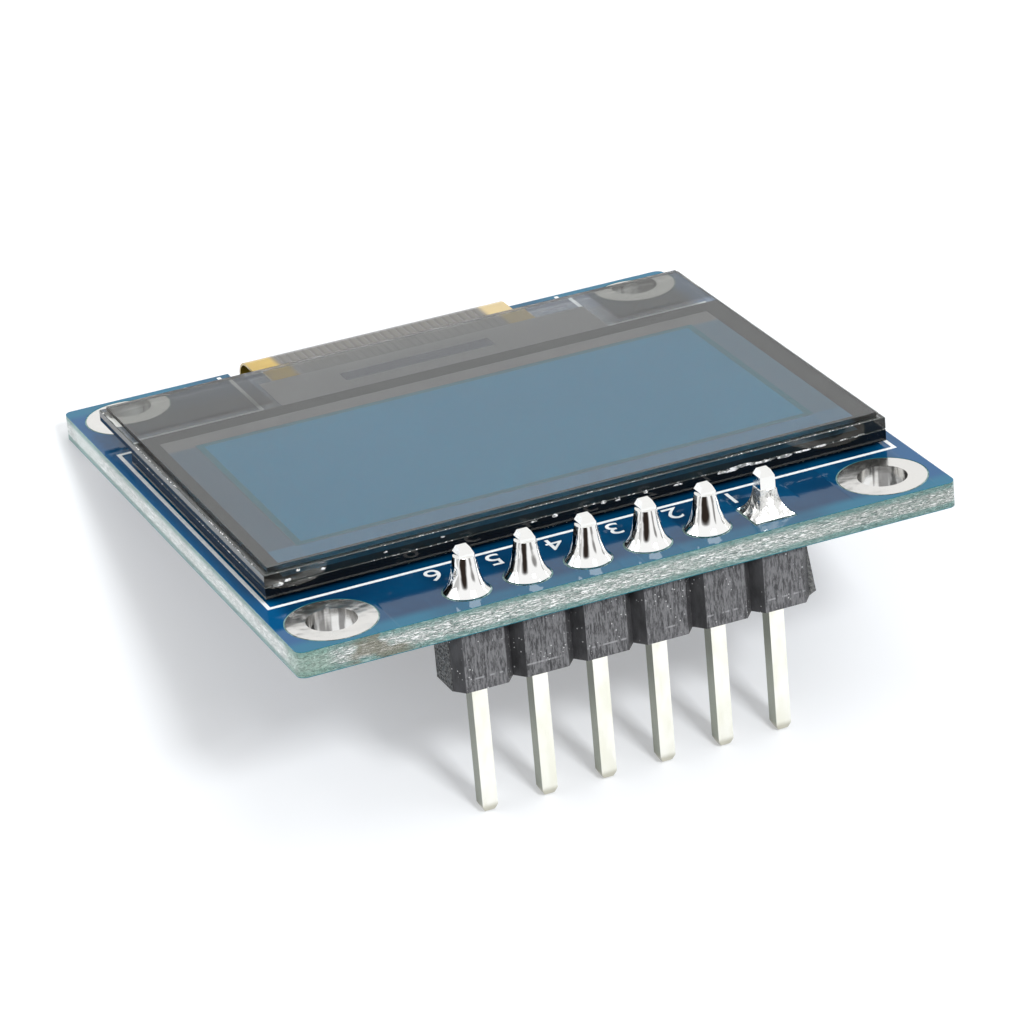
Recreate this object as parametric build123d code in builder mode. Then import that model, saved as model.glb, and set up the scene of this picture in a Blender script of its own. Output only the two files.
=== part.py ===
from build123d import *
import os

os.makedirs("parts", exist_ok=True)

# A small OLED display module. The origin is the centre of the four mounting holes on the
# back face of the board. X runs along the row of header pins, Y runs from that row to the
# edge where the display's flex folds over, and Z points out of the display. Millimetres.

# Display panel: two panes of glass with the pixels between them and a polarizer on top. The
# other sizes follow from the width of the panel and the depth of its cap glass.
panel_width = 26.6
cap_depth = 15.4
ledge_depth = 3.86
tape_thickness = 0.15
tape_margin = 1.2
cap_thickness = 0.5
cap_recess_depth = 0.22
cap_rim = 1.3
drying_sheet_thickness = 0.15
drying_sheet_gap = 0.35
seal_thickness = 0.02
seal_width = 0.9
seal_setback = 0.05
substrate_thickness = 0.5
polarizer_thickness = 0.18
polarizer_margin = 0.25
pixel_side_border = 2.428
pixel_front_border = 2.33
pixel_back_border = 2.206
pixel_film_thickness = 0.015
frame_film_width = 0.28
driver_width = 6.76
driver_depth = 0.86
driver_thickness = 0.3
driver_cap_gap = 0.9

# Board: glass-fibre laminate with a lacquer film on each face, a little larger than the panel.
board_side_margin = 0.6
board_front_margin = 4.75
board_back_margin = 3.29
board_corner_radius = 0.35
laminate_thickness = 1.02
mask_thickness = 0.03
mask_relief = 0.06

# Notch in the far edge that the flex folds through.
notch_side_gap = 0.5
notch_depth = 1.0
notch_corner_radius = 0.4

# Mounting holes, plated through, with a tinned ring on both faces.
hole_inset_x = 2.2
hole_inset_y = 2.05
hole_radius = 1.0
hole_ring_radius = 1.78
plating_wall = 0.03

# Header: six square pins at the standard pitch, pressed through a moulded strip. The pad of
# the first pin is square, to tell which end of the row it is.
pin_count = 6
pin_pitch = 2.54
pin_row_inset = 1.55
pin_width = 0.64
pin_tip_width = 0.42
pin_tip_length = 0.24
pin_rise = 1.87
pin_free_length = 5.72
header_height = 2.54
header_depth = 2.5
header_notch_mouth = 0.79
header_notch_depth = 0.5
break_lip_length = 0.3
break_lip_top = 0.3
break_lip_low = 2.4
pin_hole_radius = 0.5
pin_pad_radius = 0.92
square_pad_width = 1.7

# Solder joints of the header: cones that flare at the pad and climb the pins.
solder_height = 1.5
solder_rim_height = 0.04
solder_flare_radius = 0.74
solder_flare_height = 0.27
solder_waist_radius = 0.58
solder_waist_height = 0.72
solder_neck_radius = 0.42
square_joint_rim = 0.04
square_joint_waist = 0.96
square_joint_waist_height = 0.5
square_joint_neck = 0.7
square_joint_height = 1.1

# Flex: a polyimide film, bonded under the glass ledge, folded round the board and soldered
# to its back with a wider foot.
flex_thickness = 0.1
flex_neck_width = 12.0
flex_bond_length = 1.2
foot_hole_gap = 0.42
foot_length = 3.4
foot_notch_gap = 0.7
contact_count = 30
contact_side_margin = 0.35
contact_width = 0.32
contact_overlap = 1.2
contact_toe = 0.5
contact_height = 0.07
contact_slope = 0.12

# Printed outline of the panel and the flex, white ink on the front lacquer.
ink_width = 0.16
ink_thickness = 0.015
ink_front_gap = 0.4
ink_side_gap = 0.01
ink_step_gap = 1.5
ink_neck_left = 7.0
ink_neck_right = 8.75
ink_edge_gap = 0.2

# Chip parts on the back: length is from end to end.
chip_length = 1.6
chip_width = 0.8
capacitor_height = 0.8
resistor_height = 0.45
chip_end_length = 0.3
chip_end_swell = 0.015
chip_pad_length = 0.9
chip_pad_width = 0.95
chip_fillet_height = 0.3
capacitor_count = 5
capacitor_row_inset = 7.5
capacitor_row_y = 4.2
resistor_count = 4
resistor_pitch = 2.4
resistor_row_inset = 8.7
resistor_row_y = -4.6

# Regulator on the back, a small moulded body on three bent leads.
regulator_inset = 7.7
regulator_y = -4.6
regulator_length = 2.9
regulator_width = 1.3
regulator_half_height = 0.46
regulator_taper = 7
regulator_standoff = 0.08
lead_pitch = 0.95
lead_width = 0.4
lead_thickness = 0.13
lead_shoulder = 0.15
lead_drop_run = 0.1
lead_foot = 0.35
lead_pad_length = 0.8
lead_pad_width = 0.7

# Levels and places that follow from the sizes above.
panel_depth = cap_depth + ledge_depth
board_width = panel_width + 2 * board_side_margin
board_depth = board_front_margin + panel_depth + board_back_margin
hole_spacing_x = board_width - 2 * hole_inset_x
hole_spacing_y = board_depth - 2 * hole_inset_y
notch_width = flex_neck_width + 2 * notch_side_gap
laminate_bottom = mask_thickness
laminate_top = laminate_bottom + laminate_thickness
board_top = laminate_top + mask_thickness
board_front_y = -board_depth / 2
board_back_y = board_depth / 2
notch_y = board_back_y - notch_depth
hole_drill_radius = hole_radius + plating_wall
pin_drill_radius = pin_hole_radius + plating_wall
square_opening_width = square_pad_width + 2 * mask_relief
pin_row_y = board_front_y + pin_row_inset
pin_top = board_top + pin_rise
header_bottom = -header_height
header_width = pin_count * pin_pitch
pin_bottom = header_bottom - pin_free_length
panel_front_y = board_front_y + board_front_margin
panel_back_y = panel_front_y + panel_depth
cap_back_y = panel_front_y + cap_depth
cap_center_y = panel_front_y + cap_depth / 2
cap_bottom = board_top + tape_thickness
cap_top = cap_bottom + cap_thickness
cap_recess_floor = cap_top - cap_recess_depth
substrate_bottom = cap_top + seal_thickness
substrate_top = substrate_bottom + substrate_thickness
substrate_center_y = panel_front_y + panel_depth / 2
pixel_area_width = panel_width - 2 * pixel_side_border
pixel_area_depth = cap_depth - pixel_front_border - pixel_back_border
pixel_center_y = panel_front_y + pixel_front_border + pixel_area_depth / 2
driver_center_y = cap_back_y + driver_cap_gap + driver_depth / 2
foot_back_y = notch_y - foot_notch_gap
foot_front_y = foot_back_y - foot_length
foot_width = hole_spacing_x - 2 * (hole_ring_radius + foot_hole_gap)
contact_row_width = foot_width - 2 * contact_side_margin
contact_pitch = (contact_row_width - contact_width) / (contact_count - 1)
capacitor_pitch = (board_width - 2 * capacitor_row_inset) / (capacitor_count - 1)
resistor_row_x = board_width / 2 - resistor_row_inset
regulator_x = regulator_inset - board_width / 2

hole_spots = [
    (side_x * hole_spacing_x / 2, side_y * hole_spacing_y / 2) for side_y in (-1, 1) for side_x in (-1, 1)
]
pin_spots = [
    (((pin_count - 1) / 2 - index) * pin_pitch, pin_row_y) for index in range(pin_count)
]
capacitor_spots = [
    ((index - (capacitor_count - 1) / 2) * capacitor_pitch, capacitor_row_y)
    for index in range(capacitor_count)
]
resistor_spots = [
    (resistor_row_x + (index - (resistor_count - 1) / 2) * resistor_pitch, resistor_row_y)
    for index in range(resistor_count)
]
chip_spots = capacitor_spots + resistor_spots
contact_xs = [
    (index - (contact_count - 1) / 2) * contact_pitch for index in range(contact_count)
]

# Chips stand along Y, so their end caps and pads lie to the front and back of each spot.
chip_end_y = chip_length / 2 + chip_end_swell
pad_offset_y = chip_end_y - chip_end_length + chip_pad_length / 2
chip_pad_spots = [
    (x, y + side * pad_offset_y) for x, y in chip_spots for side in (-1, 1)
]

# The regulator has two leads to the front and one to the back.
lead_reach = lead_shoulder + lead_drop_run + lead_foot
lead_toe_y = regulator_width / 2 + lead_reach
lead_places = [
    (regulator_x - lead_pitch, -1),
    (regulator_x + lead_pitch, -1),
    (regulator_x, 1),
]
lead_pad_spots = [
    (x, regulator_y + side * lead_toe_y) for x, side in lead_places
]


def draw_board_outline():
    """Board outline with rounded corners and the notch that the flex folds through."""
    RectangleRounded(board_width, board_depth, board_corner_radius)
    with Locations((0, board_back_y)):
        RectangleRounded(notch_width, 2 * notch_depth, notch_corner_radius, mode=Mode.SUBTRACT)


def cut_ring_openings():
    """Openings of the lacquer round the plated holes; the first pin has a square one."""
    with Locations(*hole_spots):
        Circle(hole_ring_radius + mask_relief, mode=Mode.SUBTRACT)
    with Locations(*pin_spots[1:]):
        Circle(pin_pad_radius + mask_relief, mode=Mode.SUBTRACT)
    with Locations(pin_spots[0]):
        Rectangle(square_opening_width, square_opening_width, mode=Mode.SUBTRACT)


def upright_plane(spot):
    """Plane whose X points along the board and whose Y points up, through a spot on it."""
    return Plane(origin=(spot[0], spot[1], 0), x_dir=(1, 0, 0), z_dir=(0, -1, 0))


# Laminate: one plate with the drilled holes and the notch.
with BuildPart() as circuit_board:
    with BuildSketch(Plane.XY.offset(laminate_bottom)):
        draw_board_outline()
        with Locations(*hole_spots):
            Circle(hole_drill_radius, mode=Mode.SUBTRACT)
        with Locations(*pin_spots):
            Circle(pin_drill_radius, mode=Mode.SUBTRACT)
    extrude(amount=laminate_thickness)
circuit_board.part.label = "circuit_board"
export_step(circuit_board.part, "parts/circuit_board.step")

# Front lacquer: a blue film, open round every plated ring.
with BuildPart() as front_solder_mask:
    with BuildSketch(Plane.XY.offset(laminate_top)):
        draw_board_outline()
        cut_ring_openings()
    extrude(amount=mask_thickness)
front_solder_mask.part.label = "front_solder_mask"
export_step(front_solder_mask.part, "parts/front_solder_mask.step")

# Contact pads of the back reach from under the flex foot to past its free end.
contact_pad_back_y = foot_front_y + contact_overlap
contact_pad_front_y = foot_front_y - contact_toe - mask_relief
contact_pad_length = contact_pad_back_y - contact_pad_front_y
contact_pad_y = (contact_pad_back_y + contact_pad_front_y) / 2

# Back lacquer: as the front one, and open round the pads of the chips and the flex.
with BuildPart() as back_solder_mask:
    with BuildSketch(Plane.XY):
        draw_board_outline()
        cut_ring_openings()
        with Locations(*chip_pad_spots):
            Rectangle(
                chip_pad_width + 2 * mask_relief,
                chip_pad_length + 2 * mask_relief,
                mode=Mode.SUBTRACT,
            )
        with Locations(*lead_pad_spots):
            Rectangle(
                lead_pad_width + 2 * mask_relief,
                lead_pad_length + 2 * mask_relief,
                mode=Mode.SUBTRACT,
            )
        with Locations((0, contact_pad_y)):
            Rectangle(
                contact_row_width + 2 * mask_relief,
                contact_pad_length + 2 * mask_relief,
                mode=Mode.SUBTRACT,
            )
    extrude(amount=mask_thickness)
back_solder_mask.part.label = "back_solder_mask"
export_step(back_solder_mask.part, "parts/back_solder_mask.step")

# Copper pads of the back, flush with the lacquer: one group of separate tinned squares.
with BuildPart() as back_pads:
    with BuildSketch(Plane.XY):
        with Locations(*chip_pad_spots):
            Rectangle(chip_pad_width, chip_pad_length)
        with Locations(*lead_pad_spots):
            Rectangle(lead_pad_width, lead_pad_length)
        with Locations(*[(x, contact_pad_y) for x in contact_xs]):
            Rectangle(contact_width, contact_pad_length)
    extrude(amount=mask_thickness)
back_pads.part.label = "back_pads"
export_step(back_pads.part, "parts/back_pads.step")

# Plating of the mounting holes: a tinned wall in each hole and a ring on both faces.
for number, spot in enumerate(hole_spots, start=1):
    with BuildPart() as mounting_hole_plating:
        with BuildSketch(Plane.XY, Plane.XY.offset(laminate_top)):
            with Locations(spot):
                Circle(hole_ring_radius)
        extrude(amount=mask_thickness)
        with BuildSketch(Plane.XY):
            with Locations(spot):
                Circle(hole_drill_radius)
        extrude(amount=board_top)
        with BuildSketch(Plane.XY):
            with Locations(spot):
                Circle(hole_radius)
        extrude(amount=board_top, mode=Mode.SUBTRACT)
    label = f"mounting_hole_plating_{number}"
    mounting_hole_plating.part.label = label
    export_step(mounting_hole_plating.part, f"parts/{label}.step")

# Plating of the pin holes: a wall and a pad on both faces, square for the first pin.
for number, spot in enumerate(pin_spots, start=1):
    with BuildPart() as pin_hole_plating:
        with BuildSketch(Plane.XY, Plane.XY.offset(laminate_top)):
            with Locations(spot):
                if number == 1:
                    Rectangle(square_pad_width, square_pad_width)
                else:
                    Circle(pin_pad_radius)
        extrude(amount=mask_thickness)
        with BuildSketch(Plane.XY):
            with Locations(spot):
                Circle(pin_drill_radius)
        extrude(amount=board_top)
        with BuildSketch(Plane.XY):
            with Locations(spot):
                Circle(pin_hole_radius)
        extrude(amount=board_top, mode=Mode.SUBTRACT)
    label = f"pin_hole_plating_{number}"
    pin_hole_plating.part.label = label
    export_step(pin_hole_plating.part, f"parts/{label}.step")

# Header pins: square wire with a short four-sided point at both ends.
for number, spot in enumerate(pin_spots, start=1):
    with BuildPart() as header_pin:
        with BuildSketch(Plane.XY.offset(pin_bottom + pin_tip_length)):
            with Locations(spot):
                Rectangle(pin_width, pin_width)
        extrude(amount=pin_top - pin_bottom - 2 * pin_tip_length)
        for body_level, tip_level in (
            (pin_top - pin_tip_length, pin_top),
            (pin_bottom + pin_tip_length, pin_bottom),
        ):
            with BuildSketch(Plane.XY.offset(body_level)):
                with Locations(spot):
                    Rectangle(pin_width, pin_width)
            with BuildSketch(Plane.XY.offset(tip_level)):
                with Locations(spot):
                    Rectangle(pin_tip_width, pin_tip_width)
            loft()
    label = f"header_pin_{number}"
    header_pin.part.label = label
    export_step(header_pin.part, f"parts/{label}.step")

# Header strip: a moulded bar with a notch on both sides between every two pins, where it is
# broken to length, so its ends keep half a notch. The break left a lip on the last web.
with BuildPart() as header_strip:
    with BuildSketch(Plane.XY.offset(header_bottom)):
        with Locations((0, pin_row_y)):
            Rectangle(header_width, header_depth)
            with GridLocations(pin_pitch, header_depth, pin_count + 1, 2):
                Polygon(
                    (-header_notch_mouth / 2, 0),
                    (0, -header_notch_depth),
                    (header_notch_mouth / 2, 0),
                    (0, header_notch_depth),
                    mode=Mode.SUBTRACT,
                )
        with Locations(*pin_spots):
            Rectangle(pin_width, pin_width, mode=Mode.SUBTRACT)
    extrude(amount=header_height)
    with BuildSketch(upright_plane((header_width / 2, pin_row_y))):
        Polygon(
            (0, -break_lip_top),
            (break_lip_length, -break_lip_low),
            (0, header_bottom),
            align=None,
        )
    extrude(amount=header_depth / 2 - header_notch_depth, both=True)
header_strip.part.label = "header_strip"
export_step(header_strip.part, "parts/header_strip.step")

# Solder joint of the first pin: it fills the plated hole and rises from the square pad to the
# pin as a pyramid with hollow flanks.
with BuildPart() as square_solder_joint:
    with BuildSketch(Plane.XY):
        with Locations(pin_spots[0]):
            Circle(pin_hole_radius)
    extrude(amount=board_top)
    with BuildSketch(Plane.XY.offset(board_top)):
        with Locations(pin_spots[0]):
            Rectangle(square_pad_width, square_pad_width)
    extrude(amount=square_joint_rim)
    for level, width in (
        (square_joint_rim, square_pad_width),
        (square_joint_waist_height, square_joint_waist),
        (square_joint_height, square_joint_neck),
    ):
        with BuildSketch(Plane.XY.offset(board_top + level)):
            with Locations(pin_spots[0]):
                Rectangle(width, width)
    loft()
    with BuildSketch(Plane.XY):
        with Locations(pin_spots[0]):
            Rectangle(pin_width, pin_width)
    extrude(amount=pin_top, mode=Mode.SUBTRACT)
square_solder_joint.part.label = "solder_joint_1"
export_step(square_solder_joint.part, "parts/solder_joint_1.step")

# Solder joints of the other pins: each fills its plated hole, flares over the round pad and
# climbs the pin as a cone with a hollow flank.
for number, spot in enumerate(pin_spots[1:], start=2):
    with BuildPart() as solder_joint:
        with BuildSketch(upright_plane(spot)):
            with BuildLine():
                Polyline(
                    (0, 0),
                    (pin_hole_radius, 0),
                    (pin_hole_radius, board_top),
                    (pin_pad_radius, board_top),
                    (pin_pad_radius, board_top + solder_rim_height),
                )
                Spline(
                    (pin_pad_radius, board_top + solder_rim_height),
                    (solder_flare_radius, board_top + solder_flare_height),
                    (solder_waist_radius, board_top + solder_waist_height),
                    (solder_neck_radius, board_top + solder_height),
                )
                Polyline(
                    (solder_neck_radius, board_top + solder_height),
                    (0, board_top + solder_height),
                    (0, 0),
                )
            make_face()
        revolve(axis=Axis((spot[0], spot[1], 0), (0, 0, 1)))
        with BuildSketch(Plane.XY):
            with Locations(spot):
                Rectangle(pin_width, pin_width)
        extrude(amount=pin_top, mode=Mode.SUBTRACT)
    label = f"solder_joint_{number}"
    solder_joint.part.label = label
    export_step(solder_joint.part, f"parts/{label}.step")

# Mounting tape: one sheet of double-sided tape under the cap glass.
with BuildPart() as mounting_tape:
    with BuildSketch(Plane.XY.offset(board_top)):
        with Locations((0, cap_center_y)):
            Rectangle(panel_width - 2 * tape_margin, cap_depth - 2 * tape_margin)
    extrude(amount=tape_thickness)
mounting_tape.part.label = "mounting_tape"
export_step(mounting_tape.part, "parts/mounting_tape.step")

# Cap glass: the lower pane, etched hollow over the pixels so that nothing touches them.
with BuildPart() as cap_glass:
    with BuildSketch(Plane.XY.offset(cap_bottom)):
        with Locations((0, cap_center_y)):
            Rectangle(panel_width, cap_depth)
    extrude(amount=cap_thickness)
    with BuildSketch(Plane.XY.offset(cap_recess_floor)):
        with Locations((0, cap_center_y)):
            Rectangle(panel_width - 2 * cap_rim, cap_depth - 2 * cap_rim)
    extrude(amount=cap_recess_depth, mode=Mode.SUBTRACT)
cap_glass.part.label = "cap_glass"
export_step(cap_glass.part, "parts/cap_glass.step")

# Drying sheet: lies on the floor of the recess.
with BuildPart() as drying_sheet:
    with BuildSketch(Plane.XY.offset(cap_recess_floor)):
        with Locations((0, cap_center_y)):
            Rectangle(
                panel_width - 2 * (cap_rim + drying_sheet_gap),
                cap_depth - 2 * (cap_rim + drying_sheet_gap),
            )
    extrude(amount=drying_sheet_thickness)
drying_sheet.part.label = "drying_sheet"
export_step(drying_sheet.part, "parts/drying_sheet.step")

# Seal: a bead of epoxy between the two panes, all round the cap glass.
with BuildPart() as panel_seal:
    with BuildSketch(Plane.XY.offset(cap_top)):
        with Locations((0, cap_center_y)):
            Rectangle(panel_width - 2 * seal_setback, cap_depth - 2 * seal_setback)
            Rectangle(
                panel_width - 2 * (seal_setback + seal_width),
                cap_depth - 2 * (seal_setback + seal_width),
                mode=Mode.SUBTRACT,
            )
    extrude(amount=seal_thickness)
panel_seal.part.label = "panel_seal"
export_step(panel_seal.part, "parts/panel_seal.step")

# Substrate glass: the upper pane, with a ledge past the cap glass for the chip and the flex.
with BuildPart() as substrate_glass:
    with BuildSketch(Plane.XY.offset(substrate_bottom)):
        with Locations((0, substrate_center_y)):
            Rectangle(panel_width, panel_depth)
    extrude(amount=substrate_thickness)
substrate_glass.part.label = "substrate_glass"
export_step(substrate_glass.part, "parts/substrate_glass.step")

# Pixel film: the light-giving layers under the upper pane.
with BuildPart() as pixel_film:
    with BuildSketch(Plane.XY.offset(substrate_bottom)):
        with Locations((0, pixel_center_y)):
            Rectangle(pixel_area_width, pixel_area_depth)
    extrude(amount=-pixel_film_thickness)
pixel_film.part.label = "pixel_film"
export_step(pixel_film.part, "parts/pixel_film.step")

# Frame film: the yellowish insulating film that borders the pixels.
with BuildPart() as frame_film:
    with BuildSketch(Plane.XY.offset(substrate_bottom)):
        with Locations((0, pixel_center_y)):
            Rectangle(pixel_area_width + 2 * frame_film_width, pixel_area_depth + 2 * frame_film_width)
            Rectangle(pixel_area_width, pixel_area_depth, mode=Mode.SUBTRACT)
    extrude(amount=-pixel_film_thickness)
frame_film.part.label = "frame_film"
export_step(frame_film.part, "parts/frame_film.step")

# Polarizer: a thick plastic film on the upper pane, cut a little smaller than it.
with BuildPart() as polarizer:
    with BuildSketch(Plane.XY.offset(substrate_top)):
        with Locations((0, substrate_center_y)):
            Rectangle(panel_width - 2 * polarizer_margin, panel_depth - 2 * polarizer_margin)
    extrude(amount=polarizer_thickness)
polarizer.part.label = "polarizer"
export_step(polarizer.part, "parts/polarizer.step")

# Driver chip: a bare sliver of silicon bonded under the glass ledge.
with BuildPart() as driver_chip:
    with BuildSketch(Plane.XY.offset(substrate_bottom)):
        with Locations((0, driver_center_y)):
            Rectangle(driver_width, driver_depth)
    extrude(amount=-driver_thickness)
driver_chip.part.label = "driver_chip"
export_step(driver_chip.part, "parts/driver_chip.step")

# Flex: leaves the ledge, folds round the notch in a half circle and lies on the back, where
# it widens to a foot.
fold_level = (substrate_bottom - flex_thickness) / 2
fold_outer_radius = (substrate_bottom + flex_thickness) / 2
fold_inner_radius = fold_outer_radius - flex_thickness
flex_start_y = panel_back_y - flex_bond_length
with BuildPart() as display_flex:
    with BuildSketch(Plane.YZ):
        with BuildLine():
            Line((flex_start_y, substrate_bottom), (notch_y, substrate_bottom))
            ThreePointArc(
                (notch_y, substrate_bottom),
                (notch_y + fold_outer_radius, fold_level),
                (notch_y, -flex_thickness),
            )
            Polyline(
                (notch_y, -flex_thickness),
                (foot_front_y, -flex_thickness),
                (foot_front_y, 0),
                (notch_y, 0),
            )
            ThreePointArc(
                (notch_y, 0),
                (notch_y + fold_inner_radius, fold_level),
                (notch_y, substrate_bottom - flex_thickness),
            )
            Polyline(
                (notch_y, substrate_bottom - flex_thickness),
                (flex_start_y, substrate_bottom - flex_thickness),
                (flex_start_y, substrate_bottom),
            )
        make_face()
    extrude(amount=flex_neck_width / 2, both=True)
    with BuildSketch(Plane.XY.offset(-flex_thickness)):
        with Locations((0, (foot_front_y + foot_back_y) / 2)):
            Rectangle(foot_width, foot_length)
    extrude(amount=flex_thickness)
display_flex.part.label = "display_flex"
export_step(display_flex.part, "parts/display_flex.step")

# Solder joints of the flex: thirty narrow beads that run over its free end onto the pads.
contact_top = -flex_thickness - contact_height
with BuildPart() as flex_solder_joints:
    with BuildSketch(*[Plane.YZ.offset(x) for x in contact_xs]):
        Polygon(
            (foot_front_y + contact_overlap, -flex_thickness),
            (foot_front_y + contact_overlap - contact_slope, contact_top),
            (foot_front_y, contact_top),
            (foot_front_y - contact_toe, 0),
            (foot_front_y, 0),
            (foot_front_y, -flex_thickness),
            align=None,
        )
    extrude(amount=contact_width / 2, both=True)
flex_solder_joints.part.label = "flex_solder_joints"
export_step(flex_solder_joints.part, "parts/flex_solder_joints.step")

# Printed outline: one white line round the panel's front and sides that steps in beside the
# glass ledge and runs out to the far edge on both sides of the flex.
ink_side_x = panel_width / 2 + ink_side_gap + ink_width / 2
ink_front_y = panel_front_y - ink_front_gap - ink_width / 2
ink_step_y = cap_back_y + ink_step_gap
ink_end_y = board_back_y - ink_edge_gap
with BuildPart() as printed_outline:
    with BuildSketch(Plane.XY.offset(board_top)):
        with BuildLine():
            Polyline(
                (-ink_neck_left, ink_end_y),
                (-ink_neck_left, ink_step_y),
                (-ink_side_x, ink_step_y),
                (-ink_side_x, ink_front_y),
                (ink_side_x, ink_front_y),
                (ink_side_x, ink_step_y),
                (ink_neck_right, ink_step_y),
                (ink_neck_right, ink_end_y),
            )
        trace(line_width=ink_width)
    extrude(amount=ink_thickness)
printed_outline.part.label = "printed_outline"
export_step(printed_outline.part, "parts/printed_outline.step")


def make_chip(spot, height):
    """Chip part: a ceramic block whose metal ends stand a little proud of it."""
    with BuildPart() as chip:
        with BuildSketch(Plane.XY.offset(-height + chip_end_swell)):
            with Locations(spot):
                Rectangle(chip_width, chip_length)
        extrude(amount=height - 2 * chip_end_swell)
        with BuildSketch(Plane.XY.offset(-height)):
            with Locations(spot):
                with GridLocations(0, 2 * chip_end_y - chip_end_length, 1, 2):
                    Rectangle(chip_width + 2 * chip_end_swell, chip_end_length)
        extrude(amount=height)
    return chip


# Chip capacitors in a row beside the flex foot.
for number, spot in enumerate(capacitor_spots, start=1):
    capacitor = make_chip(spot, capacitor_height)
    label = f"capacitor_{number}"
    capacitor.part.label = label
    export_step(capacitor.part, f"parts/{label}.step")

# Chip resistors beside the regulator.
for number, spot in enumerate(resistor_spots, start=1):
    resistor = make_chip(spot, resistor_height)
    label = f"resistor_{number}"
    resistor.part.label = label
    export_step(resistor.part, f"parts/{label}.step")

# Solder fillets of the chips: a wedge at each end, from the pad up the end cap.
with BuildPart() as chip_solder_fillets:
    for x, y in chip_spots:
        with BuildSketch(Plane.YZ.offset(x)):
            for side in (-1, 1):
                end_y = y + side * chip_end_y
                toe_y = y + side * (pad_offset_y + chip_pad_length / 2)
                Polygon((end_y, 0), (toe_y, 0), (end_y, -chip_fillet_height), align=None)
        extrude(amount=chip_width / 2, both=True)
chip_solder_fillets.part.label = "chip_solder_fillets"
export_step(chip_solder_fillets.part, "parts/chip_solder_fillets.step")

# Regulator body: moulded in two halves that taper away from the level of its leads.
lead_level = -(regulator_standoff + regulator_half_height)
with BuildPart() as regulator_body:
    for side in (-1, 1):
        with BuildSketch(Plane.XY.offset(lead_level + side * lead_thickness / 2)):
            with Locations((regulator_x, regulator_y)):
                Rectangle(regulator_length, regulator_width)
        extrude(amount=side * (regulator_half_height - lead_thickness / 2), taper=regulator_taper)
    with BuildSketch(Plane.XY.offset(lead_level - lead_thickness / 2)):
        with Locations((regulator_x, regulator_y)):
            Rectangle(regulator_length, regulator_width)
    extrude(amount=lead_thickness)
regulator_body.part.label = "regulator_body"
export_step(regulator_body.part, "parts/regulator_body.step")

# Regulator leads: flat strips, bent down from the body and flat again on their pads.
for number, (x, side) in enumerate(lead_places, start=1):
    shoulder_y = regulator_width / 2 + lead_shoulder
    heel_y = shoulder_y + lead_drop_run
    foot_level = -lead_thickness / 2
    with BuildPart() as regulator_lead:
        with BuildSketch(Plane.YZ.offset(x)):
            with BuildLine():
                Polyline(
                    (regulator_y + side * regulator_width / 2, lead_level),
                    (regulator_y + side * shoulder_y, lead_level),
                    (regulator_y + side * heel_y, foot_level),
                    (regulator_y + side * lead_toe_y, foot_level),
                )
            trace(line_width=lead_thickness)
        extrude(amount=lead_width / 2, both=True)
    label = f"regulator_lead_{number}"
    regulator_lead.part.label = label
    export_step(regulator_lead.part, f"parts/{label}.step")
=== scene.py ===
import math
import random
import bpy
from mathutils import Matrix, Vector


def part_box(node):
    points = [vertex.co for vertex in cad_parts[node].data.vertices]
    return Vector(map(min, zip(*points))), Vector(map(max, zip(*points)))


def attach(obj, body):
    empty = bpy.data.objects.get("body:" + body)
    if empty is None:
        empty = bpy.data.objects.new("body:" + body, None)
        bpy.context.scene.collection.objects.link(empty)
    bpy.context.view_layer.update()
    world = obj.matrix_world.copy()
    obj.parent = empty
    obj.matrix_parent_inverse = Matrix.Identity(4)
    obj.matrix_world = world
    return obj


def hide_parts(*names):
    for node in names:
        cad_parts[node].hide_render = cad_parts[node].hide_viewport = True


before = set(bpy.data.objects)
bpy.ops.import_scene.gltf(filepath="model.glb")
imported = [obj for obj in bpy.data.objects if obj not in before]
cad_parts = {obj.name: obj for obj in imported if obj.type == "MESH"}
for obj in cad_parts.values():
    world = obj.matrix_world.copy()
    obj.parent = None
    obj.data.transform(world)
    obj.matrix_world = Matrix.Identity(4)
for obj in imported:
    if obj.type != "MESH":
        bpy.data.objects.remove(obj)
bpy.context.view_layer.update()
bpy.ops.object.select_all(action="DESELECT")


# Circuit board. The real one is a sheet of woven glass fibre in epoxy, about a millimetre
# thick, drilled and then routed to its outline, so its edge shows pale torn fibres in plies.
# The edge is greener beside the lacquer of both faces, and one corner is stained.
class Wire:
    """A shader socket that Python sums can use: each sum adds its Math node."""

    def __init__(self, paint, socket):
        self.paint = paint
        self.socket = socket

    def math(self, operation, first, second=0.0):
        node = self.paint.node("Math", {"operation": operation}, {0: first, 1: second})
        return Wire(self.paint, node.outputs[0])

    def __add__(self, other):
        return self.math("ADD", self, other)

    def __sub__(self, other):
        return self.math("SUBTRACT", self, other)

    def __rsub__(self, other):
        return self.math("SUBTRACT", other, self)

    def __mul__(self, other):
        return self.math("MULTIPLY", self, other)

    def __abs__(self):
        return self.math("ABSOLUTE", self)

    __radd__ = __add__
    __rmul__ = __mul__

    def fraction(self):
        return self.math("FRACT", self)

    def larger(self, other):
        return self.math("MAXIMUM", self, other)

    def ramp(self, low, high):
        """0 below low, 1 above high and a soft step between, or the other way round."""
        node = self.paint.node(
            "MapRange", {"interpolation_type": "SMOOTHSTEP"},
            {"Value": self, "From Min": low, "From Max": high},
        )
        return Wire(self.paint, node.outputs["Result"])


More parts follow.
